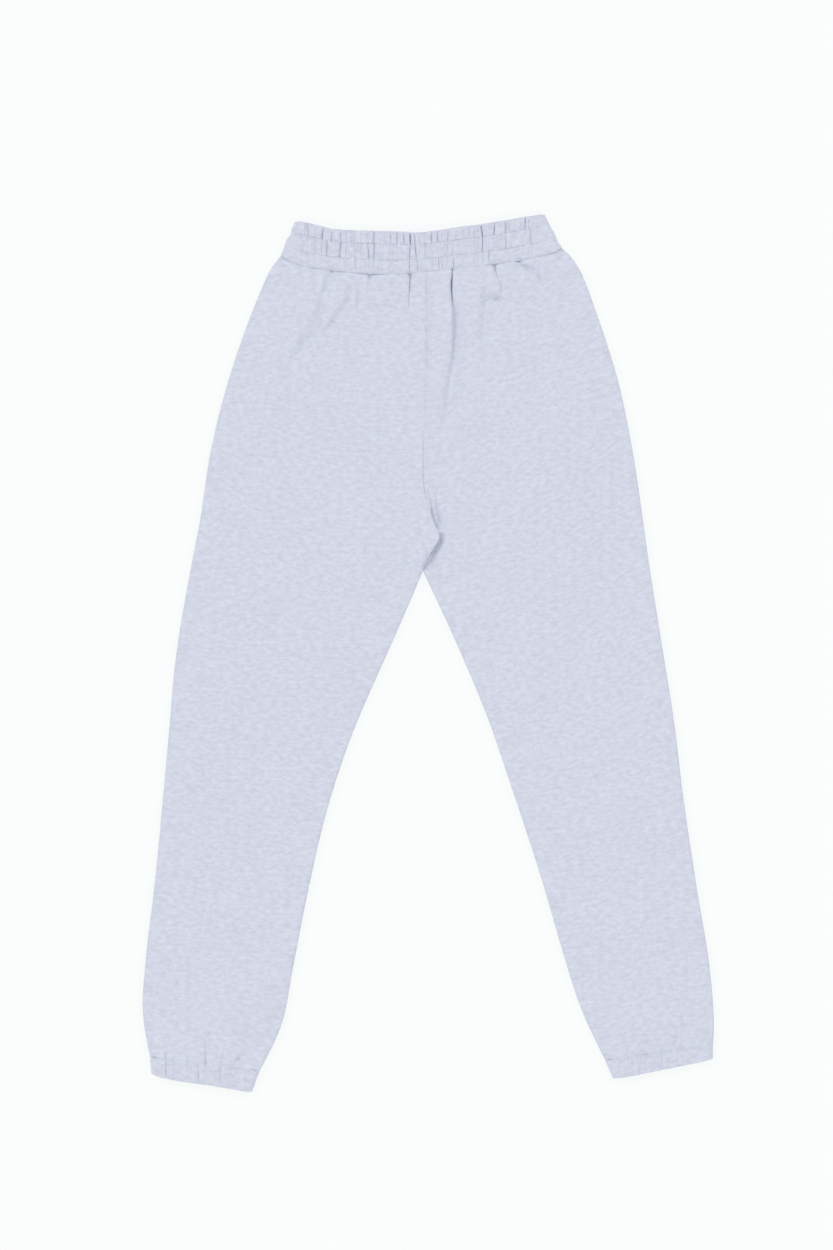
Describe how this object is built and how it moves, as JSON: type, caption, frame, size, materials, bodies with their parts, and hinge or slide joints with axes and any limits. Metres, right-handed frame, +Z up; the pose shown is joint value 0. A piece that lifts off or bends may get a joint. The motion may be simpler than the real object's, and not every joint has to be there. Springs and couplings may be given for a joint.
{
  "type": "jogger sweatpants",
  "caption": "Fleece joggers lying flat, back upward, with a gathered elastic waistband, tapered legs and elastic hem casings.",
  "frame": {"origin": "centre of the bounding box, on the plane the garment lies on", "axes": "+Y from the hems to the waistband, +X to the wearer's right, +Z up out of the back of the garment"},
  "size_m": [0.6436, 0.9868, 0.0111],
  "materials": {
    "back_panel_left_cloth": "heather fleece",
    "back_panel_right_cloth": "heather fleece",
    "front_panel_left_cloth": "heather fleece",
    "front_panel_right_cloth": "heather fleece",
    "waistband_back_cloth": "heather fleece over elastic",
    "waistband_front_cloth": "heather fleece over elastic",
    "hem_casing_left_back_cloth": "heather fleece over elastic",
    "hem_casing_left_front_cloth": "heather fleece over elastic",
    "hem_casing_right_back_cloth": "heather fleece over elastic",
    "hem_casing_right_front_cloth": "heather fleece over elastic"
  },
  "bodies": {
    "root": {"back_panel_left": "back_panel_left_cloth", "back_panel_right": "back_panel_right_cloth", "front_panel_left": "front_panel_left_cloth", "front_panel_right": "front_panel_right_cloth", "waistband_back": "waistband_back_cloth", "waistband_front": "waistband_front_cloth", "hem_casing_left_back": "hem_casing_left_back_cloth", "hem_casing_left_front": "hem_casing_left_front_cloth", "hem_casing_right_back": "hem_casing_right_back_cloth", "hem_casing_right_front": "hem_casing_right_front_cloth"}
  },
  "joints": []
}
